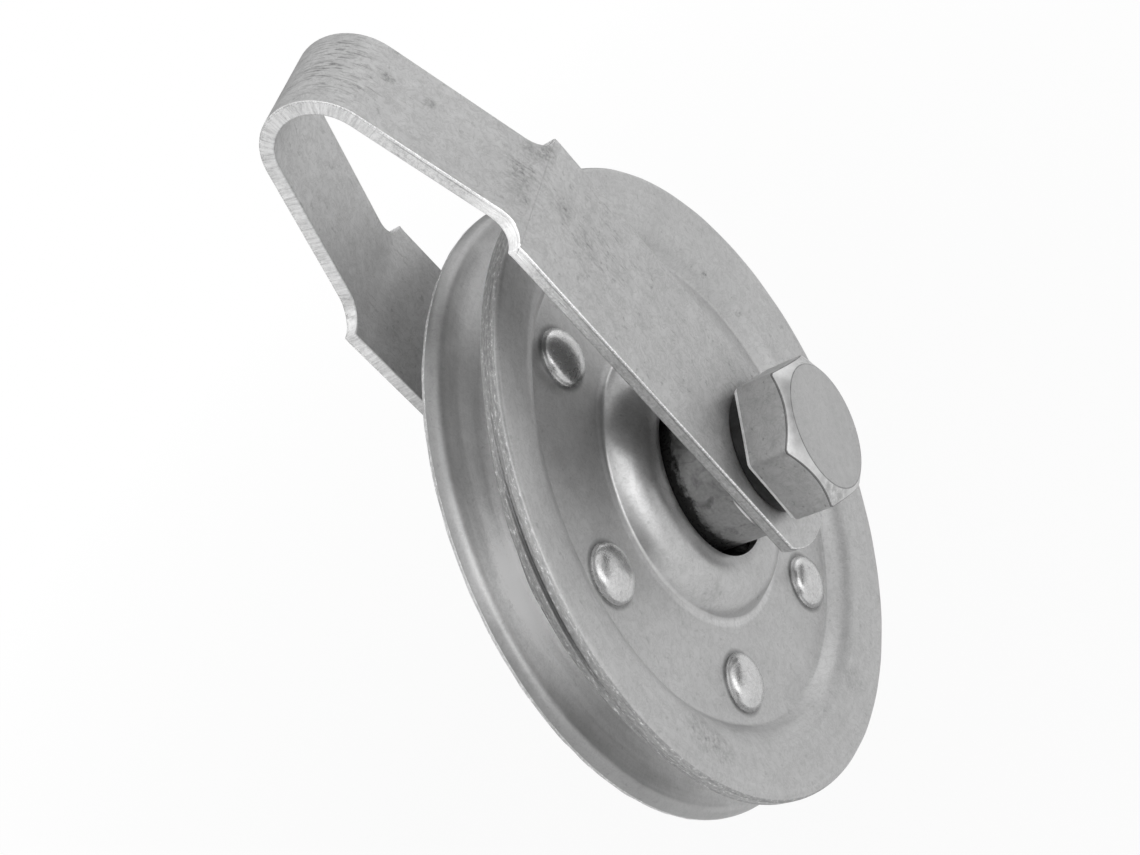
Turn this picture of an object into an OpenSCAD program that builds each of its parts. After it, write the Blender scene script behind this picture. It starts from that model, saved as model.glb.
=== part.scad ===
// Cable pulley in a fork strap. Millimetres, origin at the wheel's centre,
// axle along Y with the bolt head on -Y, strap loop towards +Z.

/* [Wheel] */
// Outer radius of the wheel
wheel_r = 38.1; // [36:0.1:48]
// Width over both rims
wheel_w = 10; // [9.4:0.1:14]
// Thickness of the plates' sheet
sheet_t = 1.9; // [1.4:0.1:2.1]
// Radius where the flat web ends and the flange begins
web_r = 28.7; // [28.2:0.1:29.5]
// Slope of the flange's steep part, in degrees
flange_a = 50; // [40:1:60]
// Slope of the flange's lip, in degrees
lip_a = 6; // [2:1:10]
// Bend radius between web and flange, along the middle of the sheet
flange_bend = 1.6; // [1.2:0.1:1.9]
// Bend radius between the flange's steep part and its lip, along the middle of the sheet
lip_bend = 3.3; // [1.2:0.1:3.6]
// Rounding of the rim's front corner
rim_round = 0.8; // [0.2:0.1:1]

/* [Bearing] */
// Radius of a ball
ball_r = 3.175; // [2.8:0.025:3.2]
// Radius of the circle of ball centres
pitch_r = 12.1; // [12:0.1:13]
// Number of balls
ball_n = 11; // [8:1:11]
// Running clearance between a ball and its track
ball_gap = 0.06; // [0.02:0.01:0.1]
// Radius of the inner race
race_r = 9.16; // [8.95:0.01:9.3]
// Radius of the opening in the hub dome
dome_hole_r = 10.97; // [10.6:0.01:11.3]
// Bend radius between hub dome and web, along the middle of the sheet
dome_bend = 1.5; // [1.2:0.1:2]

/* [Rivets] */
// Number of rivets
rivet_n = 6; // [4:1:8]
// Radius of the rivet circle
rivet_circle_r = 24.25; // [23.5:0.05:24.6]
// Turn of the rivet circle at rest, in degrees
rivet_turn = 6.3; // [0:0.1:59]
// Radius of a rivet's shank
rivet_r = 2.3; // [1.5:0.1:2.6]
// Radius of a rivet's head
rivet_head_r = 3.5; // [3:0.1:3.8]
// Height of a rivet's head
rivet_head_h = 1.8; // [1.2:0.1:2.2]
// Radial clearance of a rivet in its holes
rivet_gap = 0.05; // [0.02:0.01:0.1]

/* [Strap] */
// Thickness of the strap
strap_t = 1.6; // [1.2:0.1:2]
// Distance from the wheel's mid-plane to an ear's outer face
ear_y = 12.2; // [11.4:0.1:14]
// Width of an ear
ear_w = 18.4; // [16:0.1:22]
// Distance from the axle to an ear's end
ear_end_r = 12.1; // [11.5:0.1:14]
// Radius of an ear's rounded end
ear_tip_r = 11; // [10.7:0.1:14]
// Height of the knee, where an ear turns into a leg
knee_z = 41.9; // [41:0.1:50]
// Inner bend radius of the knee
knee_bend = 8; // [1:0.5:12]
// Width of the legs and the loop
loop_w = 12.2; // [9:0.1:15]
// Height of the loop's centre
loop_z = 58.1; // [56:0.1:70]
// Outer radius of the loop
loop_r = 6.7; // [5.5:0.1:8]
// Height of the shoulder, where the strap narrows
shoulder_z = 41.6; // [40:0.1:49]
// Fillet radius at the shoulder
shoulder_r = 3; // [1:0.1:4]

/* [Axle] */
// Radius of the bolt's shank
bolt_r = 5; // [4:0.1:6]
// Radial clearance between bolt and the pieces that it passes through
bolt_gap = 0.1; // [0.05:0.05:0.3]
// Distance across the flats of bolt head and nut
hex_af = 16; // [14:0.5:18]
// Share of the flats' radius that is left flat on top of head and nut
hex_top = 0.91; // [0.85:0.01:0.98]
// Slope of the chamfer on head and nut, in degrees
hex_chamfer_a = 35; // [20:1:45]
// Height of the bolt head
head_h = 6.4; // [5:0.1:7]
// Turn of the bolt head, in degrees
head_turn = -2; // [-30:1:30]
// Height of the nut
nut_h = 8.4; // [6:0.1:10]
// Turn of the nut, in degrees
nut_turn = 17; // [-30:1:30]
// Radius of the washer under the head
washer_r = 7.5; // [6.5:0.1:9]
// Thickness of the washer under the head
washer_t = 1.6; // [1:0.1:3]
// Length of bolt that stands out of the nut
bolt_out = 2.4; // [1:0.1:6]
// Chamfer at the bolt's end
bolt_chamfer = 0.8; // [0.4:0.1:1.2]

/* [Hidden] */
$fn = 96;
cut = 1;                                    // how far a cutting tool runs past a face
arc_steps = 8;
tongue_turn = 20;                           // how far the leg's tongue runs on into the loop
half_w = wheel_w / 2;
mid_t = sheet_t / 2;
track_r = ball_r + ball_gap;                // radius of the ball tracks
dome_mid_r = track_r + mid_t;
dome_open_a = acos((dome_hole_r - pitch_r) / track_r);
dome_bend_z = mid_t + dome_bend;
dome_bend_x = sqrt(pow(dome_mid_r + dome_bend, 2) - pow(dome_bend_z, 2));
dome_end_a = atan2(dome_bend_z, dome_bend_x);
// The two straight runs of the flange close on the rim in radius and in height.
run_x = wheel_r - web_r - flange_bend * sin(flange_a) - lip_bend * (sin(flange_a) - sin(lip_a));
run_z = half_w - sheet_t - flange_bend * (1 - cos(flange_a)) - lip_bend * (cos(lip_a) - cos(flange_a));
run_d = sin(flange_a - lip_a);
steep_l = (run_z * cos(lip_a) - run_x * sin(lip_a)) / run_d;
lip_l = (run_x * sin(flange_a) - run_z * cos(flange_a)) / run_d;
ear_in = ear_y - strap_t;
loop_in = loop_r - strap_t;
leg_d = norm([loop_z - knee_z, ear_y]);
leg_a = atan2(ear_y, loop_z - knee_z) - asin(loop_r / leg_d);   // lean of a leg towards the middle
knee_out = knee_bend + strap_t;
knee_c = [knee_z - knee_out * tan(leg_a / 2), ear_y - knee_out];
head_y = -ear_y - washer_t;
hex_r = hex_af / sqrt(3);
bolt_end_y = ear_y + nut_h + bolt_out;
rivet_ball_r = (pow(rivet_head_r, 2) + pow(rivet_head_h, 2)) / (2 * rivet_head_h);

// Points of an arc about c, from angle a0 to a1.
function arc(c, r, a0, a1) =
    [for (i = [0:arc_steps]) let (a = a0 + (a1 - a0) * i / arc_steps) c + r * [cos(a), sin(a)]];

// One face of a plate's section, at distance s from the middle of the sheet.
function plate_face(s) =
    let (web_c = [web_r, mid_t + flange_bend])
    let (steep_0 = web_c + flange_bend * [sin(flange_a), -cos(flange_a)])
    let (steep_1 = steep_0 + steep_l * [cos(flange_a), sin(flange_a)])
    let (lip_c = steep_1 + lip_bend * [sin(flange_a), -cos(flange_a)])
    let (lip_0 = lip_c + lip_bend * [-sin(lip_a), cos(lip_a)])
    concat(
        arc([pitch_r, 0], dome_mid_r + s, dome_open_a, dome_end_a),
        arc([pitch_r + dome_bend_x, dome_bend_z], dome_bend - s, dome_end_a + 180, 270),
        arc(web_c, flange_bend - s, 270, 270 + flange_a),
        arc(lip_c, lip_bend + s, 90 + flange_a, 90 + lip_a),
        [lip_0 + lip_l * [cos(lip_a), sin(lip_a)] + s * [-sin(lip_a), cos(lip_a)]]
    );

// Cuts a plate's rim to its round edge, with the front corner rounded.
module rim_envelope() {
    corner = [wheel_r - rim_round, half_w - rim_round];
    polygon(concat(
        [[0, -cut], [wheel_r, -cut]],
        arc(corner, rim_round, 0, 90),
        [[0, half_w]]
    ));
}

// Turns children so that their Z axis lies along the axle, towards the bolt head.
module along_axle() {
    rotate([90, 0, 0]) children();
}

// Places children on a circle about the axle, counted from +Z.
module on_circle(r, a) {
    rotate([0, -a, 0]) translate([0, 0, r]) children();
}

module plate() {
    face_out = plate_face(mid_t);
    face_in = plate_face(-mid_t);
    back = [for (i = [len(face_in) - 1:-1:0]) face_in[i]];
    difference() {
        rotate_extrude() intersection() {
            polygon(concat(face_out, back));
            rim_envelope();
        }
        for (i = [0:rivet_n - 1]) {
            rotate([0, 0, 90 + rivet_turn + i * 360 / rivet_n])
                translate([rivet_circle_r, 0, -cut])
                    cylinder(r = rivet_r + rivet_gap, h = sheet_t + 2 * cut);
        }
    }
}

module near_plate() {
    color("silver") along_axle() plate();
}

module far_plate() {
    color("silver") mirror([0, 1, 0]) along_axle() plate();
}

module rivet_head() {
    intersection() {
        translate([0, 0, sheet_t + rivet_head_h - rivet_ball_r]) sphere(r = rivet_ball_r);
        translate([0, 0, sheet_t]) cylinder(r = rivet_head_r, h = rivet_head_h + cut);
    }
}

module rivet(i) {
    color("gainsboro") on_circle(rivet_circle_r, rivet_turn + (i - 1) * 360 / rivet_n) along_axle() {
        translate([0, 0, -sheet_t]) cylinder(r = rivet_r, h = 2 * sheet_t);
        rivet_head();
        mirror([0, 0, 1]) rivet_head();
    }
}

module ball(i) {
    color("dimgray") on_circle(pitch_r, (i - 1) * 360 / ball_n) sphere(r = ball_r);
}

module inner_race() {
    color("gray") along_axle() difference() {
        cylinder(r = race_r, h = 2 * ear_in, center = true);
        cylinder(r = bolt_r + bolt_gap, h = 2 * ear_in + 2 * cut, center = true);
        rotate_extrude() translate([pitch_r, 0]) circle(r = track_r);
    }
}

// A hexagonal prism with its corners turned down at the top.
module hex_prism(h) {
    top_r = hex_top * hex_af / 2;
    chamfer_h = (hex_r - top_r) * tan(hex_chamfer_a);
    intersection() {
        cylinder(r = hex_r, h = h, $fn = 6);
        union() {
            cylinder(r = hex_r + cut, h = h - chamfer_h);
            translate([0, 0, h - chamfer_h]) cylinder(r1 = hex_r, r2 = top_r, h = chamfer_h);
        }
    }
}

module axle_bolt() {
    shank_l = bolt_end_y - head_y;
    color("darkgray") translate([0, head_y, 0]) {
        along_axle() rotate([0, 0, 90 + head_turn]) hex_prism(head_h);
        mirror([0, 1, 0]) along_axle() {
            cylinder(r = bolt_r, h = shank_l - bolt_chamfer);
            translate([0, 0, shank_l - bolt_chamfer])
                cylinder(r1 = bolt_r, r2 = bolt_r - bolt_chamfer, h = bolt_chamfer);
        }
    }
}

module head_washer() {
    color("dimgray") translate([0, -ear_y, 0]) along_axle() difference() {
        cylinder(r = washer_r, h = washer_t);
        translate([0, 0, -cut]) cylinder(r = bolt_r + bolt_gap, h = washer_t + 2 * cut);
    }
}

module axle_nut() {
    color("darkgray") translate([0, ear_y, 0]) mirror([0, 1, 0]) along_axle() difference() {
        rotate([0, 0, nut_turn]) hex_prism(nut_h);
        translate([0, 0, -cut]) cylinder(r = bolt_r + bolt_gap, h = nut_h + 2 * cut);
    }
}

// Side view of one ear and its leg, as [z, y]. It ends in a tongue inside the loop's own wall.
module strap_side() {
    tangent = [sin(leg_a), cos(leg_a)];
    tongue_a = 90 - leg_a - tongue_turn;
    polygon(concat(
        [[-ear_end_r, ear_in]],
        arc(knee_c, knee_bend, 90, 90 - leg_a),
        [[loop_z, 0] + loop_in * tangent],
        [[loop_z, 0] + (loop_r - strap_t / 2) * [cos(tongue_a), sin(tongue_a)]],
        [[loop_z, 0] + loop_r * tangent],
        arc(knee_c, knee_out, 90 - leg_a, 90),
        [[-ear_end_r, ear_y]]
    ));
}

// The loop's round end, between the ends of the two legs.
module loop_end() {
    reach = 2 * loop_r;
    intersection() {
        difference() {
            rotate([0, 90, 0]) cylinder(r = loop_r, h = loop_w, center = true);
            rotate([0, 90, 0]) cylinder(r = loop_in, h = loop_w + 2 * cut, center = true);
        }
        rotate([90, 0, 90]) linear_extrude(loop_w + 2 * cut, center = true) polygon([
            [0, 0],
            reach * [cos(leg_a), sin(leg_a)],
            reach * [1, 2],
            reach * [-1, 2],
            reach * [-cos(leg_a), sin(leg_a)]
        ]);
    }
}

// Front view of an ear and its leg, as [x, z], with the shoulder's fillets.
module strap_front() {
    ear_half = ear_w / 2;
    loop_half = loop_w / 2;
    tip_z = ear_tip_r - ear_end_r;
    intersection() {
        translate([0, tip_z]) circle(r = ear_tip_r);
        translate([-ear_half, -ear_end_r]) square([ear_w, ear_tip_r]);
    }
    translate([-ear_half, tip_z]) square([ear_w, shoulder_z - tip_z]);
    translate([-loop_half, 0]) square([loop_w, loop_z + loop_r]);
    for (side = [-1, 1]) {
        difference() {
            translate([side * (loop_half + shoulder_r / 2), shoulder_z + shoulder_r / 2])
                square(shoulder_r, center = true);
            translate([side * (loop_half + shoulder_r), shoulder_z + shoulder_r]) circle(r = shoulder_r);
        }
    }
}

module strap() {
    color("lightgray") difference() {
        union() {
            intersection() {
                for (side = [0, 1]) {
                    mirror([0, side, 0]) rotate([0, -90, 0])
                        linear_extrude(ear_w + 2 * cut, center = true) strap_side();
                }
                rotate([90, 0, 0]) linear_extrude(2 * ear_y + 2 * cut, center = true) strap_front();
            }
            translate([0, 0, loop_z]) loop_end();
        }
        along_axle() cylinder(r = bolt_r + bolt_gap, h = 2 * ear_y + 2 * cut, center = true);
    }
}

strap();
head_washer();
axle_bolt();
axle_nut();
inner_race();
near_plate();
far_plate();
for (i = [1:rivet_n]) rivet(i);
for (i = [1:ball_n]) ball(i);
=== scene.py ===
"""Garage door pulley: a stamped wheel on a ball bearing in a looped strap, dressed to render."""

import logging
import math
from dataclasses import dataclass, field
from enum import Enum, IntEnum
from typing import Callable, Sequence, Union

import bmesh
import bpy
from mathutils import Matrix, Vector


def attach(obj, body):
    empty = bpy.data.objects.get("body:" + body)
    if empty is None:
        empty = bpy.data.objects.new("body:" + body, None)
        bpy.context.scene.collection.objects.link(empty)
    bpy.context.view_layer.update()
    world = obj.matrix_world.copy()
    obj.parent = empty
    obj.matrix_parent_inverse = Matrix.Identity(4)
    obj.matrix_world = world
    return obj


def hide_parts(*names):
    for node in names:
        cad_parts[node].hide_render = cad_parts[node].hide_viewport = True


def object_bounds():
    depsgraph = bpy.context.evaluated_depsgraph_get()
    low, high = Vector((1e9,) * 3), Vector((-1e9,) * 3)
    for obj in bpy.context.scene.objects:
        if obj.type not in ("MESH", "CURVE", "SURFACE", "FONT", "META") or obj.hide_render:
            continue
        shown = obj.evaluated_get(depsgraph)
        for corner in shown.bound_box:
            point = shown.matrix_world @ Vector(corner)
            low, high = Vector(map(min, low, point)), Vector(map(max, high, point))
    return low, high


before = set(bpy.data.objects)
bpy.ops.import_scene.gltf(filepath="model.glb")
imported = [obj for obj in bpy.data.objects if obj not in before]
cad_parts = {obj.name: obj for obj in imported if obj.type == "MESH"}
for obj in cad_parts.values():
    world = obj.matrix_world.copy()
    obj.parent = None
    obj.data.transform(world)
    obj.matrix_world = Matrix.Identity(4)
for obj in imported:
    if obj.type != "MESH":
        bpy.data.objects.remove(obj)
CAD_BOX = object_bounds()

LOG = logging.getLogger("pulley")
MM = 0.001
SAME_PLANE = math.radians(0.6)
CORNER = math.radians(60.0)

Point2 = tuple[float, float]
Colour = tuple[float, float, float, float]


def grey(value: float) -> Colour:
    """A grey of the given linear value."""
    return (value, value, value, 1.0)


class Body(Enum):
    """The bodies that a piece can ride on."""

    FORK = "fork"
    SHEAVE = "sheave"


class Slot(Enum):
    """The record's material slots."""

    STRAP = "zinc_strap"
    PLATE = "zinc_plate"
    FASTENER = "zinc_fastener"
    DARK = "dark_steel"


class PlateZone(IntEnum):
    """The finishes on a wheel plate, as the numbers of its materials."""

    SKIN = 0
    CUT = 1
    GROOVE = 2


class RaceZone(IntEnum):
    """The finishes on the inner race, as the numbers of its materials."""

    STEEL = 0
    CHAMFER = 1


class StrapZone(IntEnum):
    """The finishes on the strap, as the numbers of its materials."""

    SHEET = 0
    CUT = 1


class BoltZone(IntEnum):
    """The finishes on the bolt, as the numbers of its materials."""

    SIDE = 0
    TOP = 1
    CHAMFER = 2
    EDGE = 3
    BEVEL_HIGHLIGHT = 4
    CREASE = 5


# ---------------------------------------------------------------- shader maths


class Graph:
    """A node tree, with one method that makes any node."""

    def __init__(self, owner: "bpy.types.Material | bpy.types.World") -> None:
        """Empties the owner's node tree.

        Args:
            owner: A new material or world.
        """
        owner.use_nodes = True
        self.owner = owner
        self.tree = owner.node_tree
        self.tree.nodes.clear()

    def node(
        self,
        kind: str,
        settings: dict[str, object] | None = None,
        inputs: dict[str | int, object] | None = None,
    ) -> bpy.types.Node:
        """Makes a node.

        Args:
            kind: The node's type name, such as ShaderNodeMath.
            settings: Attributes that are set first; "stops" sets a ramp's stops.
            inputs: Values or wires for sockets, by name or number.

        Returns:
            The new node.
        """
        made = self.tree.nodes.new(kind)
        for key, value in (settings or {}).items():
            if key == "stops":
                self._set_stops(made.color_ramp, value)
            else:
                setattr(made, key, value)
        for key, value in (inputs or {}).items():
            if isinstance(value, Wire):
                self.tree.links.new(value.socket, made.inputs[key])
            else:
                made.inputs[key].default_value = value
        return made

    @staticmethod
    def _set_stops(ramp: bpy.types.ColorRamp, stops: Sequence[Point2]) -> None:
        """Gives a ramp its stops.

        Args:
            ramp: The ramp.
            stops: Positions and grey values, in order.
        """
        while len(ramp.elements) < len(stops):
            ramp.elements.new(1.0)
        for element, (position, value) in zip(ramp.elements, stops):
            element.position = position
            element.color = grey(value)

    def wire(self, node: bpy.types.Node, output: Union[int, str] = 0) -> "Wire":
        """Wraps one output of a node."""
        return Wire(self, node.outputs[output])

    def math(self, operation: str, *values: "Number", clamp: bool = False) -> "Wire":
        """Applies one Math node to wires and numbers."""
        settings = {"operation": operation, "use_clamp": clamp}
        return self.wire(self.node("ShaderNodeMath", settings, dict(enumerate(values))))

    def vector(
        self, operation: str, *values: "Wire | Sequence[float]", output: str = "Vector"
    ) -> "Wire":
        """Applies one Vector Math node."""
        settings, inputs = {"operation": operation}, dict(enumerate(values))
        return self.wire(self.node("ShaderNodeVectorMath", settings, inputs), output)

    def mix(self, factor: "Wire | float", low: "Wire | Colour", high: "Wire | Colour") -> "Wire":
        """Mixes two colours."""
        inputs = {"Factor": factor, 6: low, 7: high}
        return self.wire(self.node("ShaderNodeMix", {"data_type": "RGBA"}, inputs), 2)

    def coordinates(self) -> "Wire":
        """Object coordinates in millimetres."""
        source = self.wire(self.node("ShaderNodeTexCoord"), "Object")
        return self.vector("MULTIPLY", source, (1 / MM,) * 3)

    def split(self, at: "Wire") -> tuple["Wire", "Wire", "Wire"]:
        """The three parts of a vector."""
        node = self.node("ShaderNodeSeparateXYZ", {}, {0: at})
        return self.wire(node, 0), self.wire(node, 1), self.wire(node, 2)

    def join(self, x: "Number", y: "Number", z: "Number" = 0.0) -> "Wire":
        """A vector of three parts."""
        return self.wire(self.node("ShaderNodeCombineXYZ", {}, {0: x, 1: y, 2: z}))

    def stored(self, name: str) -> "Wire":
        """A value that the mesh stores at its points."""
        return self.wire(self.node("ShaderNodeAttribute", {"attribute_name": name}), "Fac")

    def turned(self, at: "Wire", turn: Sequence[float], scale: Sequence[float]) -> "Wire":
        """Turns a place by Euler angles in degrees, then scales it."""
        inputs = {"Rotation": tuple(math.radians(a) for a in turn), "Scale": tuple(scale)}
        return self.wire(self.node("ShaderNodeMapping", {}, {"Vector": at, **inputs}))

    def noise(
        self, at: "Wire", scale: float, detail: float = 4.0, rough: float = 0.55, warp: float = 0.0
    ) -> "Wire":
        """Fractal noise.

        Args:
            at: Where it is read, in millimetres.
            scale: Features per millimetre.
            detail: Number of octaves.
            rough: Weight of the fine octaves.
            warp: Distortion.

        Returns:
            The noise, about 0.5 on average.
        """
        inputs = {"Scale": scale, "Detail": detail, "Roughness": rough, "Distortion": warp}
        return self.wire(self.node("ShaderNodeTexNoise", {}, {"Vector": at, **inputs}), 0)

    def near(self, at: "Wire", centre: Sequence[float], radius: float) -> "Wire":
        """1 at a centre, falling to 0 at a radius, both in millimetres."""
        return self.vector("DISTANCE", at, tuple(centre), output="Value").above(radius, 0.0)

    def bump(self, height: "Wire", distance_mm: float) -> "Wire":
        """Turns a height into a normal."""
        inputs = {"Height": height, "Strength": 1.0, "Distance": distance_mm * MM}
        return self.wire(self.node("ShaderNodeBump", {}, inputs))

    def metal(
        self, level: "Wire", tone: float, rough: "Wire", metallic: "Wire | float", normal: "Wire"
    ) -> bpy.types.Material:
        """Closes a material with a metal shader.

        Args:
            level: Brightness over the surface, 1 where the metal is clean.
            tone: Linear grey of the clean metal.
            rough: Roughness.
            metallic: Metallic share.
            normal: Bumped normal.

        Returns:
            The finished material.
        """
        colour = self.mix((level * 0.5).clamped(), grey(0.0), grey(2.0 * tone))
        inputs = {"Base Color": colour, "Roughness": rough.clamped(), "Metallic": metallic}
        shader = self.node("ShaderNodeBsdfPrincipled", {}, {**inputs, "Normal": normal})
        self.node("ShaderNodeOutputMaterial", {}, {"Surface": self.wire(shader)})
        return self.owner


@dataclass(frozen=True)
class Wire:
    """One output socket that takes part in arithmetic.

    Attributes:
        graph: The graph that it belongs to.
        socket: The socket.
    """

    graph: Graph
    socket: bpy.types.NodeSocket

    def __add__(self, other: "Number") -> "Wire":
        """Sum."""
        return self.graph.math("ADD", self, other)

    def __radd__(self, other: float) -> "Wire":
        """Sum, reflected."""
        return self.graph.math("ADD", other, self)

    def __sub__(self, other: "Number") -> "Wire":
        """Difference."""
        return self.graph.math("SUBTRACT", self, other)

    def __rsub__(self, other: float) -> "Wire":
        """Difference, reflected."""
        return self.graph.math("SUBTRACT", other, self)

    def __mul__(self, other: "Number") -> "Wire":
        """Product."""
        return self.graph.math("MULTIPLY", self, other)

    def __rmul__(self, other: float) -> "Wire":
        """Product, reflected."""
        return self.graph.math("MULTIPLY", other, self)

    def clamped(self) -> "Wire":
        """The value held between 0 and 1."""
        return self.graph.math("ADD", self, 0.0, clamp=True)

    def above(self, low: float, high: float) -> "Wire":
        """0 at low, 1 at high, straight between and held beyond; low may be the larger."""
        return self.graph.math("MULTIPLY", self - low, 1 / (high - low), clamp=True)

    def between(self, low: float, high: float, soft: float) -> "Wire":
        """1 from low to high, falling to 0 over a soft border on each side."""
        return self.above(low - soft, low) * self.above(high + soft, high)


Number = Union[Wire, float]


# -------------------------------------------------------------------- finishes


@dataclass(frozen=True)
class Spot:
    """A stain, a rub mark or a patch of painted shade at one place.

    Attributes:
        place: Its centre, in millimetres.
        radius: Its reach, in millimetres.
        depth: How much it darkens the metal.
        patchy: Whether it is broken up into blots.
    """

    place: tuple[float, float, float]
    radius: float
    depth: float = 0.5
    patchy: bool = True


@dataclass(frozen=True)
class Layers:
    """What a finish does to a surface, before its shader closes it.

    Attributes:
        level: Brightness, 1 where the metal is clean.
        rough: Roughness.
        metallic: Metallic share.
        height: Height for the bump.
    """

    level: Wire
    rough: Wire
    metallic: Wire
    height: Wire


@dataclass(frozen=True)
class ZincFinish:
    """Zinc plating on sheet or on a fastener.

    Attributes:
        name: Material name.
        tone: Linear grey of clean plating.
        cloud: Depth of the wide, soft patches.
        mottle: Depth of the millimetre-sized mottling.
        vein: Depth of the fine, dark veins.
        rough: Roughness of clean plating.
        metallic: Metallic share; the rest is dull.
        specks: Share of the surface with dark specks.
        streaks: Strength of short rub marks.
        streak_turn: Turn of the rub marks, in degrees.
        scuffs: Places where the rub marks lie close together.
        grain: Bump, in millimetres.
        marks_and_shade: Stains and patches of painted shade at known places.
    """

    name: str
    tone: float = 0.52
    cloud: float = 0.10
    mottle: float = 0.10
    vein: float = 0.06
    rough: float = 0.40
    metallic: float = 0.90
    specks: float = 0.3
    streaks: float = 0.0
    streak_turn: tuple[float, float, float] = (0.0, 0.0, 26.0)
    scuffs: tuple[Spot, ...] = ()
    grain: float = 0.02
    marks_and_shade: tuple[Spot, ...] = ()

    def layers(self, g: Graph, at: Wire) -> Layers:
        """Works out the plating's colour, gloss and relief.

        Args:
            g: The material's graph.
            at: Object coordinates, in millimetres.

        Returns:
            The layers.
        """
        cloud = g.noise(at, scale=0.16, detail=3.0, rough=0.5, warp=0.4)
        mottle = g.noise(at, scale=0.85, detail=3.0, rough=0.6, warp=0.3)
        fine = g.noise(at, scale=4.5, detail=2.0, rough=0.5)
        level = 1.0 + (cloud - 0.5) * (2 * self.cloud) + (mottle - 0.5) * (2 * self.mottle)
        level = level + (fine - 0.5) * 0.16
        # Dirt and painted shade darken the plating and leave it rougher, duller and a little lower.
        dirt_and_shade = self._dirt_and_shade(g, at)
        rough = self.rough + (mottle - 0.5) * 0.14 + (cloud - 0.5) * 0.08 + dirt_and_shade * 0.18
        height = mottle * 0.6 + fine * 0.25 - dirt_and_shade * 0.5
        return Layers(level * (1.0 - dirt_and_shade * 0.7), rough, self.metallic - dirt_and_shade * 0.3, height)

    def _dirt_and_shade(self, g: Graph, at: Wire) -> Wire:
        """Gathers the specks, the veins, the rub marks, the stains and the painted shade.

        Args:
            g: The material's graph.
            at: Object coordinates, in millimetres.

        Returns:
            0 on clean plating, 1 where it is darkest.
        """
        limit = 0.715 - 0.03 * self.specks
        slanted = g.turned(at, turn=(20.0, 35.0, 0.0), scale=(1.0, 1.5, 1.0))
        speck = g.noise(slanted, scale=1.25, detail=1.0, rough=0.4).above(limit, limit + 0.03)
        vein = g.noise(at, scale=0.75, detail=5.0, rough=0.7, warp=0.9)
        vein = g.math("ABSOLUTE", vein - 0.5).above(0.045, 0.0)
        dirt_and_shade = speck * (0.45 * self.specks) + vein * self.vein
        if self.streaks:
            short = g.turned(at, self.streak_turn, scale=(2.6, 0.42, 0.42))
            along = g.noise(short, scale=1.3, detail=2.0, rough=0.6)
            thin = g.noise(at, scale=0.11, detail=2.0).above(0.46, 0.62)
            dirt_and_shade = dirt_and_shade + along.above(0.60, 0.74) * thin * self.streaks
            for scuff in self.scuffs:
                close = g.near(at, scuff.place, scuff.radius)
                dirt_and_shade = dirt_and_shade + along.above(0.50, 0.62) * close * scuff.depth
        if self.marks_and_shade:
            blot = g.noise(at, scale=1.5, detail=4.0, rough=0.7).above(0.38, 0.60)
            for entry in self.marks_and_shade:
                mark = g.near(at, entry.place, entry.radius).above(0.0, 0.55) * entry.depth
                dirt_and_shade = dirt_and_shade + (mark * blot if entry.patchy else mark)
        return dirt_and_shade.clamped()

    def make(self) -> bpy.types.Material:
        """Builds the material.

        Returns:
            The material, ready for a mesh.
        """
        g = Graph(bpy.data.materials.new(self.name))
        made = self.layers(g, g.coordinates())
        normal = g.bump(made.height, self.grain)
        return g.metal(made.level, self.tone, made.rough, made.metallic, normal)


@dataclass(frozen=True)
class PlateFinish(ZincFinish):
    """Plating on a plate: polished on the dome, brushed on the flange, with painted shade round
    each rivet.

    Attributes:
        flange: Inner and outer radius of the brushed flange, in millimetres.
        dome_r: Radius of the dome's foot, in millimetres.
        polish: How much smoother the dome is.
        rivets: Middles of the rivets as (x, z), in millimetres.
        rivet_r: Radius of a rivet's head, in millimetres.
    """

    flange: Point2 = (29.4, 37.6)
    dome_r: float = 17.4
    polish: float = 0.12
    rivets: tuple[Point2, ...] = ()
    rivet_r: float = 3.5

    def layers(self, g: Graph, at: Wire) -> Layers:
        """Adds the plate's own marks to the plating.

        Args:
            g: The material's graph.
            at: Object coordinates, in millimetres.

        Returns:
            The layers.
        """
        base = super().layers(g, at)
        x, _, z = g.split(at)
        flat = g.join(x, 0.0, z)
        radius = g.vector("LENGTH", flat, output="Value")
        turn = g.math("ARCTAN2", x, z)
        brushed = g.noise(g.join(turn * 2.2, radius * 1.5), scale=1.0, detail=4.0, rough=0.65)
        drawn = g.noise(g.join(turn * 4.0, radius * 0.5), scale=1.0, detail=4.0, rough=0.7)
        flange = radius.between(*self.flange, 0.8)
        dome = radius.above(self.dome_r + 0.5, self.dome_r - 0.5)
        # Painted highlight: a thin bright line along the dome's foot.
        foot = radius.between(self.dome_r - 0.1, self.dome_r + 0.3, 0.3)
        level = base.level * (1.0 + (brushed - 0.5) * flange * 0.22 + (drawn - 0.5) * dome * 0.14)
        level = level * (1.0 + foot * 0.18)
        # Painted shade: a dark ring on the plate round each rivet's foot.
        for rivet_x, rivet_z in self.rivets:
            away = g.vector("DISTANCE", flat, (rivet_x, 0.0, rivet_z), output="Value")
            ring = away.between(self.rivet_r - 0.1, self.rivet_r + 0.12, 0.45)
            level = level * (1.0 - ring * 0.45)
        height = base.height + (brushed - 0.5) * flange * 0.4
        return Layers(level, base.rough - dome * self.polish, base.metallic, height)


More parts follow.
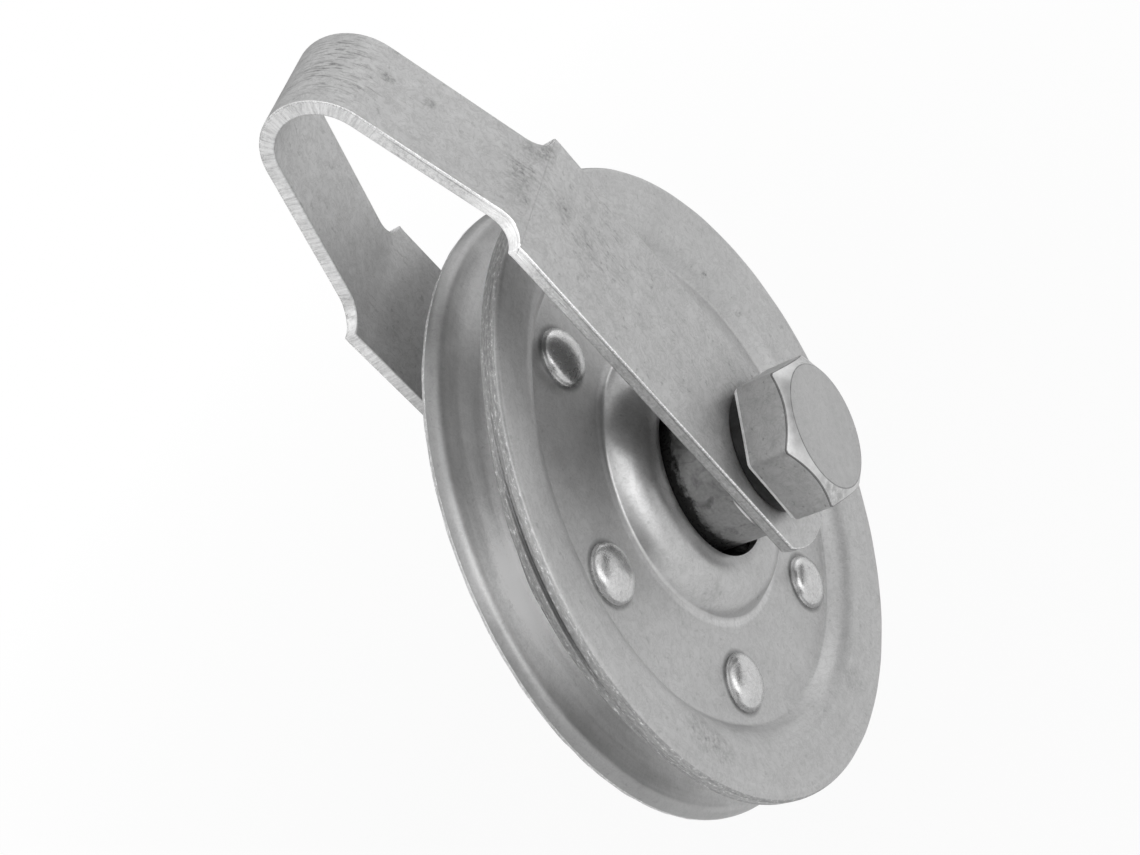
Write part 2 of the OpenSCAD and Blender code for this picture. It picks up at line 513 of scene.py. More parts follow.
@dataclass(frozen=True)
class GrooveFinish(ZincFinish):
    """Plating in the groove: brushed along the turn, with painted highlights in places and painted
    shade towards the rim.

    Attributes:
        rim_r: Radius where the rolled rim begins, in millimetres.
        painted_highlights: Painted highlights, each with its angle from +Z towards +X and its
            reach, both in radians, and how much brighter it is.
    """

    rim_r: float = 36.7
    painted_highlights: tuple[tuple[float, float, float], ...] = (
        (-1.06, 0.42, 0.55),
        (-2.25, 0.50, 0.22),
        (0.12, 0.30, 0.45),
        (1.70, 0.50, 0.40),
        (3.00, 0.40, 0.40),
    )

    def layers(self, g: Graph, at: Wire) -> Layers:
        """Adds the brush marks and the rubbed places to the plating.

        Args:
            g: The material's graph.
            at: Object coordinates, in millimetres.

        Returns:
            The layers.
        """
        # Adds the brush marks, the painted highlights and the painted shade towards the rim to the
        # plating.
        base = super().layers(g, at)
        x, _, z = g.split(at)
        radius = g.vector("LENGTH", g.join(x, 0.0, z), output="Value")
        turn = g.math("ARCTAN2", x, z)
        wide = g.join(turn * 1.6, radius * 0.36)
        wide = g.noise(wide, scale=1.0, detail=3.0, rough=0.55, warp=0.5)
        thin = g.noise(g.join(turn * 3.0, radius * 2.4), scale=1.0, detail=4.0, rough=0.7)
        level = base.level * (1.0 + (wide - 0.5) * 0.8 + (thin - 0.5) * 0.22)
        # Painted highlights: brighter places round the turn.
        for middle, reach, shine in self.painted_highlights:
            highlight = g.math("ABSOLUTE", turn - middle).above(reach, reach * 0.2)
            level = level * (1.0 + highlight * shine)
        # Painted shade: the groove is darker towards the rolled rim.
        level = level * (1.0 - radius.above(self.rim_r - 2.2, self.rim_r + 1.0) * 0.48)
        return Layers(level, base.rough, base.metallic, base.height + thin * 0.3)


@dataclass(frozen=True)
class ShearedEdge:
    """The strap's cut edge: bright, striated, with a burnished outer line.

    The mesh stores "across", 0 on the strap's inner face and 1 on its outer face, and "along",
    the length along the strap in millimetres.

    Attributes:
        name: Material name.
        tone: Linear grey of the bright metal.
        darkened_beside: How much darker the edge is beside the wheel.
        knee: Middle of the painted highlight at the near knee, in millimetres.
        metallic: Metallic share.
        grain: Bump, in millimetres.
    """

    name: str
    tone: float = 0.90
    darkened_beside: float = 0.46
    knee: tuple[float, float, float] = (-7.8, -11.6, 43.2)
    metallic: float = 0.55
    grain: float = 0.09

    def make(self) -> bpy.types.Material:
        """Builds the material.

        Returns:
            The material, ready for the strap's mesh.
        """
        g = Graph(bpy.data.materials.new(self.name))
        at = g.coordinates()
        x, y, z = g.split(at)
        across, along = g.stored("across"), g.stored("along")
        bars = g.noise(g.join(along * 2.6, across * 0.5), scale=1.0, detail=3.0, rough=0.7)
        lines = g.noise(g.join(along * 0.35, across * 8.0), scale=1.0, detail=3.0, rough=0.6)
        crumb = g.noise(at, scale=3.2, detail=3.0, rough=0.65)
        # Bars cross the edge on the loop and the far side, lines run along it on the near side.
        drawn = g.math("MAXIMUM", z.above(55.0, 59.0), y.above(-3.0, 3.0))
        level = 1.0 + (bars - 0.5) * drawn * 1.3 + (lines - 0.5) * (1.0 - drawn) * 0.7
        level = level + (crumb - 0.5) * (1.3 - drawn * 0.8)
        # Painted highlight at the near knee.
        level = level + g.near(at, self.knee, 5.0).above(0.0, 0.5) * 0.9
        # A bright line at the outer face, a shade inside it, and a dark lip at the inner face.
        line = across.between(0.86, 1.0, 0.04)
        shade = across.between(0.74, 0.80, 0.04) * (1.0 - drawn)
        lip = across.above(0.12, 0.04)
        # The edge is darker beside the wheel, below 38 mm.
        beside = z.above(38.0, 24.0)
        level = level * (1.0 - beside * self.darkened_beside) + line * (1.0 - drawn) * 0.35
        level = level * (1.0 - shade * 0.35 - lip * 0.30)
        # Painted shade: the outer part of the edge is darker on the +X side.
        level = level * (1.0 - x.above(1.0, 4.0) * across.above(0.80, 0.88) * 0.6)
        rough = 0.36 + (crumb - 0.5) * 0.3 - line * 0.1
        height = bars * drawn + lines * (1.0 - drawn) + crumb * 0.6
        return g.metal(level, self.tone, rough, self.metallic, g.bump(height, self.grain))


@dataclass(frozen=True)
class CutRim:
    """The cut edge of a plate's rim, with ridges that follow the turn.

    Attributes:
        name: Material name.
        tone: Linear grey of the metal.
        ridges: Depth of the ridges.
        tear: Depth of the dark tear line.
        burr_at: Angle of the burr's middle from +Z towards +X, in radians.
        metallic: Metallic share.
        grain: Bump, in millimetres.
    """

    name: str
    tone: float = 0.47
    ridges: float = 0.45
    tear: float = 0.7
    burr_at: float = -1.02
    metallic: float = 0.75
    grain: float = 0.22

    def make(self) -> bpy.types.Material:
        """Builds the material.

        Returns:
            The material, ready for a plate's mesh.
        """
        g = Graph(bpy.data.materials.new(self.name))
        at = g.coordinates()
        x, y, z = g.split(at)
        turn = g.math("ARCTAN2", x, z)
        deep = g.math("ABSOLUTE", y)
        # Ridges run far round the turn, crumbs for less than a millimetre.
        ridge = g.noise(g.join(turn * 1.6, y * 3.4), scale=1.0, detail=3.0, rough=0.65)
        crumb = g.noise(g.join(turn * 46.0, y * 3.4), scale=1.0, detail=4.0, rough=0.8)
        # At the burr a dark tear runs along the edge; the highest crumbs glint all round.
        burr = g.math("ABSOLUTE", turn - self.burr_at).above(0.36, 0.12)
        tear = deep.between(3.25, 3.65, 0.18) * burr * (0.6 + crumb * 0.6)
        glint = crumb.above(0.56, 0.66)
        level = 0.82 + (ridge - 0.5) * (2 * self.ridges) + (crumb - 0.5) * 1.3 + glint * 0.7
        # Painted highlight along the rounded front corner at the burr.
        level = level + deep.above(3.7, 4.4) * burr * 0.30
        level = level * (1.0 - tear * self.tear)
        rough = 0.52 + (crumb - 0.5) * 0.3
        height = ridge * self.ridges + crumb * 0.5 - tear
        return g.metal(level, self.tone, rough, self.metallic, g.bump(height, self.grain))


@dataclass(frozen=True)
class DarkSteel:
    """Oiled, greasy steel in the bearing.

    Attributes:
        name: Material name.
        tone: Linear grey of the bare steel.
        grease: Share of the surface under grease.
        lumps: Bump of the grease, in millimetres.
        grease_and_shade_reach: Distance from the mid-plane within which grease and painted shade
            cover all, in millimetres.
    """

    name: str
    tone: float = 0.22
    grease: float = 0.5
    lumps: float = 0.03
    grease_and_shade_reach: float = 0.0

    def make(self) -> bpy.types.Material:
        """Builds the material.

        Returns:
            The material, ready for a mesh.
        """
        g = Graph(bpy.data.materials.new(self.name))
        at = g.coordinates()
        bare = 0.60 - 0.3 * self.grease
        smear = g.noise(at, scale=0.42, detail=4.0, rough=0.6, warp=1.0).above(bare, bare + 0.20)
        grain = g.noise(at, scale=2.2, detail=3.0, rough=0.6)
        if self.grease_and_shade_reach:
            # Deep in the bearing the steel is darkened all over: grease and painted shade.
            ragged = (g.noise(at, scale=0.9, detail=4.0, rough=0.7) - 0.5) * 3.4
            deep = g.math("ABSOLUTE", g.split(at)[1]) + ragged
            grease_and_shade = deep.above(self.grease_and_shade_reach + 0.5, self.grease_and_shade_reach - 0.4) * 1.22
            smear = g.math("MAXIMUM", smear * 0.8, grease_and_shade)
        level = (1.0 + (grain - 0.5) * 0.8) * (1.0 - smear * 0.72)
        rough = 0.46 - smear * 0.14 + (grain - 0.5) * 0.2
        normal = g.bump(grain * 0.6 + smear, self.lumps)
        return g.metal(level, self.tone, rough, 1.0 - smear * 0.4, normal)


Finish = Union[ZincFinish, PlateFinish, GrooveFinish, ShearedEdge, CutRim, DarkSteel]
Place = tuple[float, float, float]
Section = Callable[[float], Sequence[Point2]]
Ring = Callable[[float, int], Point2]
Zone = Callable[[int], int]

# Stains at the near shoulder and knee, painted shade round the washer and down the near ear, and
# nicks on the near leg.
STRAP_MARKS = (
    Spot((6.2, -12.2, 42.0), 1.6, 0.55),
    Spot((4.6, -11.8, 43.4), 1.8, 0.35),
    Spot((0.6, -11.5, 43.9), 2.4, 0.40),
    Spot((-2.4, -12.2, 43.2), 1.8, 0.25),
    Spot((1.3, -12.2, 37.6), 1.8, 0.25),
    Spot((0.2, -12.2, 33.8), 2.2, 0.20),
    # Painted shadow of the head and washer on the near ear.
    Spot((2.0, -12.2, 1.5), 11.0, 0.16, False),
    # Painted shade over the near ear, so that it is darker than the leg.
    Spot((0.0, -12.2, 18.0), 34.0, 0.15, False),
    Spot((1.5, -6.7, 59.1), 0.9, 0.55),
    Spot((1.9, -8.2, 54.6), 0.9, 0.45),
)
# Rub marks over the loop's top, at the near knee and on the near ear.
STRAP_SCUFFS = (
    Spot((3.4, -3.4, 63.6), 5.5, 0.55),
    Spot((-1.5, -3.6, 63.4), 6.0, 0.50),
    Spot((1.0, -11.6, 43.6), 5.0, 0.22),
    Spot((0.0, -12.2, 33.0), 9.0, 0.16),
)
# Dull places on the head's chamfer.
HEAD_MARKS = (
    Spot((7.6, -20.0, 5.0), 5.0, 0.50),
    Spot((-8.2, -20.0, -3.6), 4.6, 0.42),
    Spot((1.0, -20.0, -8.6), 4.6, 0.45),
)
# Stains and nicks on the near plate's dome, web and flange.
PLATE_MARKS = (
    Spot((-32.6, -4.6, -5.4), 3.4, 0.30),
    Spot((-32.4, -4.6, -9.0), 2.6, 0.30),
    Spot((-27.4, -4.6, -12.0), 2.4, 0.25),
    Spot((-18.1, -4.6, 11.1), 0.8, 0.95),
    Spot((-17.2, -4.4, 6.2), 0.6, 0.9),
    Spot((-15.3, -4.6, -4.4), 2.2, 0.25),
    Spot((30.0, -3.2, 6.3), 0.7, 0.9),
    Spot((30.6, -3.2, 2.4), 0.5, 0.7),
    Spot((30.5, -3.2, -1.6), 0.6, 0.8),
    Spot((-7.4, -4.6, -32.6), 2.6, 0.22),
)


# --------------------------------------------------------------------- meshing


def arc(centre: Point2, radius: float, start: float, end: float, steps: int) -> list[Point2]:
    """Points of an arc.

    Args:
        centre: Its centre.
        radius: Its radius.
        start: First angle, in degrees.
        end: Last angle, in degrees.
        steps: Number of chords.

    Returns:
        The points from start to end.
    """
    angles = [math.radians(start + (end - start) * i / steps) for i in range(steps + 1)]
    return [(centre[0] + radius * math.cos(a), centre[1] + radius * math.sin(a)) for a in angles]


def even(count: int) -> list[float]:
    """Evenly spaced angles round a turn, in radians."""
    return [2 * math.pi * i / count for i in range(count)]


def swell(angle: float, middle: float, reach: float) -> float:
    """A smooth hump round the turn.

    Args:
        angle: Where it is read, in radians.
        middle: The hump's middle.
        reach: How far it spreads on each side.

    Returns:
        1 in the middle, 0 beyond its reach.
    """
    away = abs((angle - middle + math.pi) % (2 * math.pi) - math.pi)
    return 0.5 + 0.5 * math.cos(math.pi * min(away / reach, 1.0))


@dataclass
class Maker:
    """Turns meshes in millimetres into pieces that ride on bodies.

    Attributes:
        materials: The materials made so far, by name.
    """

    materials: dict[str, bpy.types.Material] = field(default_factory=dict)

    def dress(self, finish: Finish) -> bpy.types.Material:
        """Gives the material of a finish, made once.

        Args:
            finish: The finish.

        Returns:
            Its material.
        """
        if finish.name not in self.materials:
            self.materials[finish.name] = finish.make()
        return self.materials[finish.name]

    def piece(
        self,
        name: str,
        form: bmesh.types.BMesh,
        body: Body,
        slot: Slot,
        finishes: Sequence[Finish],
        smooth: float = 32.0,
        weighted: bool = False,
    ) -> bpy.types.Object:
        """Makes a piece from a mesh.

        Args:
            name: The piece's name.
            form: Its mesh, in millimetres in the part's frame; it is used up.
            body: The body that it rides on.
            slot: The record's material slot; not used.
            finishes: One finish per material number of the mesh.
            smooth: Edges sharper than this many degrees stay sharp.
            weighted: Whether large faces stay flat beside small ones.

        Returns:
            The new object.
        """
        bmesh.ops.remove_doubles(form, verts=form.verts, dist=1e-5)
        bmesh.ops.recalc_face_normals(form, faces=form.faces)
        bmesh.ops.scale(form, vec=(MM, MM, MM), verts=form.verts)
        mesh = bpy.data.meshes.new(name)
        form.to_mesh(mesh)
        form.free()
        mesh.shade_smooth()
        mesh.set_sharp_from_angle(angle=math.radians(smooth))
        for finish in finishes:
            mesh.materials.append(self.dress(finish))
        made = bpy.data.objects.new(name, mesh)
        bpy.context.scene.collection.objects.link(made)
        if weighted:
            made.modifiers.new("flats", "WEIGHTED_NORMAL").keep_sharp = True
        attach(made, body.value)
        LOG.info("%s: %d faces on %s", name, len(mesh.polygons), body.value)
        return made

    @staticmethod
    def ring(form: bmesh.types.BMesh, places: Sequence[Place]) -> list[bmesh.types.BMVert]:
        """Adds points about the axle.

        Args:
            form: The mesh that gets them.
            places: For each point its radius, its height along +Y and its angle from +Z towards +X.

        Returns:
            The points.
        """
        return [form.verts.new((r * math.sin(a), h, r * math.cos(a))) for r, h, a in places]

    @staticmethod
    def lathe(
        section: Section, side: int, angles: Sequence[float], zone: Zone | None = None
    ) -> bmesh.types.BMesh:
        """Turns a closed section about the axle.

        Args:
            section: Closed outline at an angle from +Z towards +X, as radii and heights from
                the mid-plane.
            side: 1 towards the bolt head, -1 towards the nut.
            angles: Where the turn has its points, in radians.
            zone: Material number of each side of the section.

        Returns:
            The turned mesh.
        """
        form = bmesh.new()
        rings = [Maker.ring(form, [(r, -side * h, a) for r, h in section(a)]) for a in angles]
        for here, there in zip(rings, rings[1:] + rings[:1]):
            for k in range(len(here)):
                m = (k + 1) % len(here)
                face = form.faces.new((here[k], here[m], there[m], there[k]))
                face.material_index = zone(k) if zone else 0
        return form

    @staticmethod
    def turned(
        outline: Ring, rows: int, angles: Sequence[float], zone: Zone | None = None
    ) -> bmesh.types.BMesh:
        """Closes rings of varying radius, with a centre point on each end.

        Args:
            outline: Radius and height for an angle and a row.
            rows: Number of rings.
            angles: Where each ring has its points, in radians.
            zone: Material number of each row.

        Returns:
            The mesh, its height along +Y.
        """
        form = bmesh.new()
        rings = [Maker.ring(form, [(*outline(a, row), a) for a in angles]) for row in range(rows)]
        count = len(angles)
        for row, (low, high) in enumerate(zip(rings, rings[1:])):
            for i in range(count):
                k = (i + 1) % count
                face = form.faces.new((low[i], low[k], high[k], high[i]))
                face.material_index = zone(row) if zone else 0
        for row, ends in ((0, rings[0]), (rows - 2, rings[-1])):
            centre = form.verts.new((0, sum(v.co.y for v in ends) / count, 0))
            for i in range(count):
                face = form.faces.new((ends[i], ends[(i + 1) % count], centre))
                face.material_index = zone(row) if zone else 0
        return form


# ---------------------------------------------------------------- sub-assemblies


@dataclass
class Sheave:
    """The wheel: two stamped plates held by rivets. Sizes in millimetres, angles in degrees.

    Attributes:
        wheel_r: Radius of the wheel.
        wheel_w: Width over the rims.
        sheet: Thickness of the plates.
        web_r: Radius where the flat web ends.
        flange_angle: Slope of the flange.
        lip_angle: Slope of the lip at the rim.
        flange_bend: Bend between web and flange.
        lip_bend: Bend between flange and lip.
        rim_round: Rounding of the near rim's front corner.
        far_round: Rounding of the far rim's corner in the groove.
        burr_h: Height of the near rim's burr.
        burr_at: Angle of the burr's middle from +Z towards +X, in radians.
        burr_reach: How far the burr spreads on each side, in radians.
        ball_r: Radius of a ball.
        ball_gap: Clearance between ball and track.
        pitch_r: Radius of the circle of balls.
        dome_hole_r: Radius of the hole in the dome.
        dome_bend: Bend at the dome's foot.
        rivet_count: Number of rivets.
        rivet_circle_r: Radius of the circle of rivets.
        rivet_turn: Turn of the first rivet from +Z.
        rivet_head_r: Radius of a rivet's head.
        rivet_head_h: Height of a rivet's head.
        rivet_foot_h: Height of the upright part at the head's foot.
        steps: Points round the turn.
    """

    wheel_r: float = 38.1
    wheel_w: float = 10.0
    sheet: float = 1.9
    web_r: float = 28.7
    flange_angle: float = 50.0
    lip_angle: float = 6.0
    flange_bend: float = 1.6
    lip_bend: float = 3.3
    rim_round: float = 0.8
    far_round: float = 1.4
    burr_h: float = 1.0
    burr_at: float = -1.02
    burr_reach: float = 0.60
    ball_r: float = 3.175
    ball_gap: float = 0.06
    pitch_r: float = 12.1
    dome_hole_r: float = 10.97
    dome_bend: float = 1.5
    rivet_count: int = 6
    rivet_circle_r: float = 24.25
    rivet_turn: float = 6.3
    rivet_head_r: float = 3.5
    rivet_head_h: float = 1.8
    rivet_foot_h: float = 0.34
    steps: int = 320

    def face(self, s: float) -> list[Point2]:
        """Draws one face of a plate's section, from the dome's hole to the rim.

        Args:
            s: How far the face lies outside the middle of the sheet.

        Returns:
            The face, as radii and heights from the mid-plane.
        """
        mid = self.sheet / 2
        bend, lip_bend = self.flange_bend, self.lip_bend
        steep, lip = math.radians(self.flange_angle), math.radians(self.lip_angle)
        sin_s, cos_s, sin_l, cos_l = math.sin(steep), math.cos(steep), math.sin(lip), math.cos(lip)
        run_r = self.wheel_r - self.web_r - bend * sin_s - lip_bend * (sin_s - sin_l)
        run_h = self.wheel_w / 2 - self.sheet - bend * (1 - cos_s) - lip_bend * (cos_l - cos_s)
        fall = math.sin(steep - lip)
        steep_l = (run_h * cos_l - run_r * sin_l) / fall
        lip_l = (run_r * sin_s - run_h * cos_s) / fall
        track = self.ball_r + self.ball_gap
        open_a = math.degrees(math.acos((self.dome_hole_r - self.pitch_r) / track))
        bend_h = mid + self.dome_bend
        bend_r = math.sqrt((track + mid + self.dome_bend) ** 2 - bend_h**2)
        end_a = math.degrees(math.atan2(bend_h, bend_r))
        web_r, web_h = self.web_r, mid + bend
        end_r = web_r + bend * sin_s + steep_l * cos_s
        end_h = web_h - bend * cos_s + steep_l * sin_s
        lip_r, lip_h = end_r + lip_bend * sin_s, end_h - lip_bend * cos_s
        tip = (
            lip_r - lip_bend * sin_l + lip_l * cos_l - s * sin_l,
            lip_h + lip_bend * cos_l + lip_l * sin_l + s * cos_l,
        )
        return (
            arc((self.pitch_r, 0), track + mid + s, open_a, end_a, 24)
            + arc((self.pitch_r + bend_r, bend_h), self.dome_bend - s, end_a + 180, 270, 10)
            + arc((web_r, web_h), bend - s, 270, 270 + self.flange_angle, 10)
            + arc((lip_r, lip_h), lip_bend + s, 90 + self.flange_angle, 90 + self.lip_angle, 14)
            + [tip]
        )

    def near_section(self, angle: float) -> list[Point2]:
        """The near plate's outline: rounded front corner, and a burr on the groove's side.

        Args:
            angle: Where on the turn it is, in radians from +Z towards +X.

        Returns:
            The closed outline, front face first.
        """
        front, back = self.face(self.sheet / 2), self.face(-self.sheet / 2)
        front_h, back_h = front.pop()[1], back.pop()[1]
        wave = 0.05 * math.sin(23 * angle) + 0.04 * math.sin(37 * angle + 1.0)
        burr = self.burr_h * swell(angle, self.burr_at, self.burr_reach) * (1 + wave)
        rim, round_r = self.wheel_r, self.rim_round * (1 + 0.6 * wave)
        corner = arc((rim - round_r, front_h - round_r), round_r, 96, 0, 6)
        # Down the cut rim, round the burr and back into the groove.
        edge = [
            (rim, front_h - 1.15),
            (rim - 0.07 - 0.10 * (burr > 0.1), front_h - 1.45),
            (rim - 0.03, back_h + 0.1 - burr * 0.7),
            (rim - 0.15, back_h - burr),
            (rim - 0.5, back_h - burr * 0.7),
            (rim - 1.4, back_h - 0.12),
        ]
        return front + corner + edge + back[::-1]

    def far_section(self, angle: float) -> list[Point2]:
        """The far plate's outline: the groove's corner is rounded, the outer one has a fine burr.

        Args:
            angle: Where on the turn it is, in radians from +Z towards +X.

        Returns:
            The closed outline, outer face first.
        """
        front, back = self.face(self.sheet / 2), self.face(-self.sheet / 2)
        front_h, back_h = front.pop()[1], back.pop()[1]
        wave = 0.03 * math.sin(41 * angle) + 0.02 * math.sin(67 * angle + 1.0)
        rim, round_r = self.wheel_r, self.far_round
        # Over the fine burr of the outer corner.
        edge = [
            (rim - 0.30, front_h),
            (rim - 0.05 - wave, front_h - 0.08),
            (rim - 0.01, front_h - 0.22),
            (rim - 0.01, front_h - 0.40),
        ]
        rolled = arc((rim - round_r, back_h + round_r), round_r, 0, -84, 10)
        return front + edge + rolled + back[::-1]

    def build(self, maker: Maker) -> None:
        """Makes the plates and the rivets.

        Args:
            maker: Makes and dresses the pieces.
        """
        near_cut = CutRim("near_cut_rim", burr_at=self.burr_at)
        far_cut = CutRim("far_cut_rim", tone=0.80, ridges=0.25, tear=0.0)
        self._plate(maker, "near_plate", 1, self.near_section, (3, 11), near_cut)
        self._plate(maker, "far_plate", -1, self.far_section, (0, 3), far_cut)
        for index in range(self.rivet_count):
            self._rivet(maker, index)

    def _plate(
        self,
        maker: Maker,
        node: str,
        side: int,
        section: Section,
        cut: tuple[int, int],
        rim: CutRim,
    ) -> None:
        """Makes one plate.

        Args:
            maker: Makes and dresses the piece.
            node: The node that it replaces.
            side: 1 towards the bolt head, -1 towards the nut.
            section: The plate's outline at an angle.
            cut: First and last side of the cut rim, counted from the end of the outer face.
            rim: Finish of the cut rim.
        """
        count = len(self.face(0.0)) - 1
        circle, turn = self.rivet_circle_r, math.radians(self.rivet_turn)
        places = [turn + angle for angle in even(self.rivet_count)]
        skin = PlateFinish(
            "plate_zinc",
            0.52,
            cloud=0.11,
            mottle=0.14,
            vein=0.18,
            rough=0.43,
            metallic=0.85,
            specks=0.35,
            grain=0.012,
            marks_and_shade=PLATE_MARKS,
            rivets=tuple((-circle * math.sin(a), circle * math.cos(a)) for a in places),
            rivet_r=self.rivet_head_r,
        )
        groove = GrooveFinish(
            "groove_zinc", 0.66, cloud=0.12, mottle=0.12, vein=0.12, rough=0.46, metallic=0.80
        )

        def zone(k: int) -> PlateZone:
            """Finish of a side of the outline.

            Args:
                k: The side's number.

            Returns:
                Skin before the cut rim, the groove's finish after it.
            """
            if k < count + cut[0]:
                return PlateZone.SKIN
            return PlateZone.CUT if k <= count + cut[1] else PlateZone.GROOVE

        form = Maker.lathe(section, side, even(self.steps), zone)
        made = maker.piece(f"{node}_skin", form, Body.SHEAVE, Slot.PLATE, (skin, rim, groove))
        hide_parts(node)

    def _rivet(self, maker: Maker, index: int) -> None:
        """Makes one rivet with two peened heads.

        Args:
            maker: Makes and dresses the piece.
            index: Its place on the circle, from 0.
        """
        r, h, base, foot = self.rivet_head_r, self.rivet_head_h, self.sheet, self.rivet_foot_h
        steps = [math.pi / 2 * k / 16 for k in range(17)]
        dome = [((r - 0.10) * math.sin(t), foot + (h - foot) * math.cos(t)) for t in steps]
        collar = [(r - 0.05, foot - 0.10), (r, 0.12), (r - 0.03, 0.0)]
        profile = [(max(x, 0.02), base + y) for x, y in dome + collar]
        heights = profile + [(x, -y) for x, y in reversed(profile)]
        slant = (index * 2.1) % (2 * math.pi)

        def struck(angle: float, row: int) -> Point2:
            """A ring of the rivet, a little out of round and struck askew.

            Args:
                angle: Where on the ring, in radians.
                row: The ring's number.

            Returns:
                Radius and height.
            """
            radius, height = heights[row]
            wave = 1 - 0.012 * (1 + math.sin(2 * angle + index * 1.7))
            lean = 1.0
            if abs(height) > base + foot:
                lean -= 0.05 * (1 + math.cos(angle - slant)) * radius / r
            return radius * wave, math.copysign(base + (abs(height) - base) * lean, height)

        form = Maker.turned(struck, len(heights), even(64))
        turn = -math.radians(self.rivet_turn + index * 360 / self.rivet_count)
        way = Matrix.Rotation(turn, 4, "Y") @ Matrix.Translation((0, 0, self.rivet_circle_r))
        bmesh.ops.transform(form, matrix=way, verts=form.verts)
        shine = ZincFinish(
            "rivet_zinc",
            0.64,
            cloud=0.08,
            mottle=0.16,
            vein=0.2,
            rough=0.25,
            specks=0.5,
            grain=0.03,
        )
        name = f"rivet_{index + 1}"
        made = maker.piece(f"{name}_peened", form, Body.SHEAVE, Slot.FASTENER, (shine,), smooth=50)
        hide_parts(name)


@dataclass
class Bearing:
    """Inner race and balls. Sizes in millimetres.

    Attributes:
        race_r: Radius of the race's shoulders.
        race_half: Half its length.
        bore_r: Radius of its bore.
        pitch_r: Radius of the circle of balls.
        track_r: Radius of its track's arc.
        chamfer: Chamfer of its ends.
        ball_count: Number of balls.
    """

    race_r: float = 9.16
    race_half: float = 10.6
    bore_r: float = 5.1
    pitch_r: float = 12.1
    track_r: float = 3.235
    chamfer: float = 0.30
    ball_count: int = 11

    def build(self, maker: Maker) -> None:
        """Makes the race and dresses the balls.

        Args:
            maker: Makes and dresses the pieces.
        """
        c, half, race, bore = self.chamfer, self.race_half, self.race_r, self.bore_r
        reach = math.degrees(math.acos((self.pitch_r - race) / self.track_r))
        outline = [(bore, half), (race - c, half), (race, half - c)]
        outline += arc((self.pitch_r, 0), self.track_r, 180 - reach, 180 + reach, 12)
        outline += [(race, c - half), (race - c, -half), (bore, -half)]
        chamfers = (1, len(outline) - 3)
        # The race darkens towards its middle, deep in the dome: grease and painted shade.
        steel = DarkSteel("race_steel", tone=0.42, grease=0.22, grease_and_shade_reach=5.7)
        bright = ZincFinish("race_chamfer", 0.62, rough=0.3)

        def zone(k: int) -> RaceZone:
            """Finish of a side of the outline, by its number."""
            return RaceZone.CHAMFER if k in chamfers else RaceZone.STEEL

        form = Maker.lathe(lambda _: outline, 1, even(160), zone)
        made = maker.piece("inner_race_turned", form, Body.FORK, Slot.DARK, (steel, bright))
        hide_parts("inner_race")
        greased = maker.dress(DarkSteel("greased_balls", tone=0.05, grease=0.9, lumps=0.25))
        for i in range(1, self.ball_count + 1):
            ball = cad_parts[f"ball_{i}"]
            ball.data.materials.clear()
            ball.data.materials.append(greased)
        LOG.info("balls: %d dressed", self.ball_count)


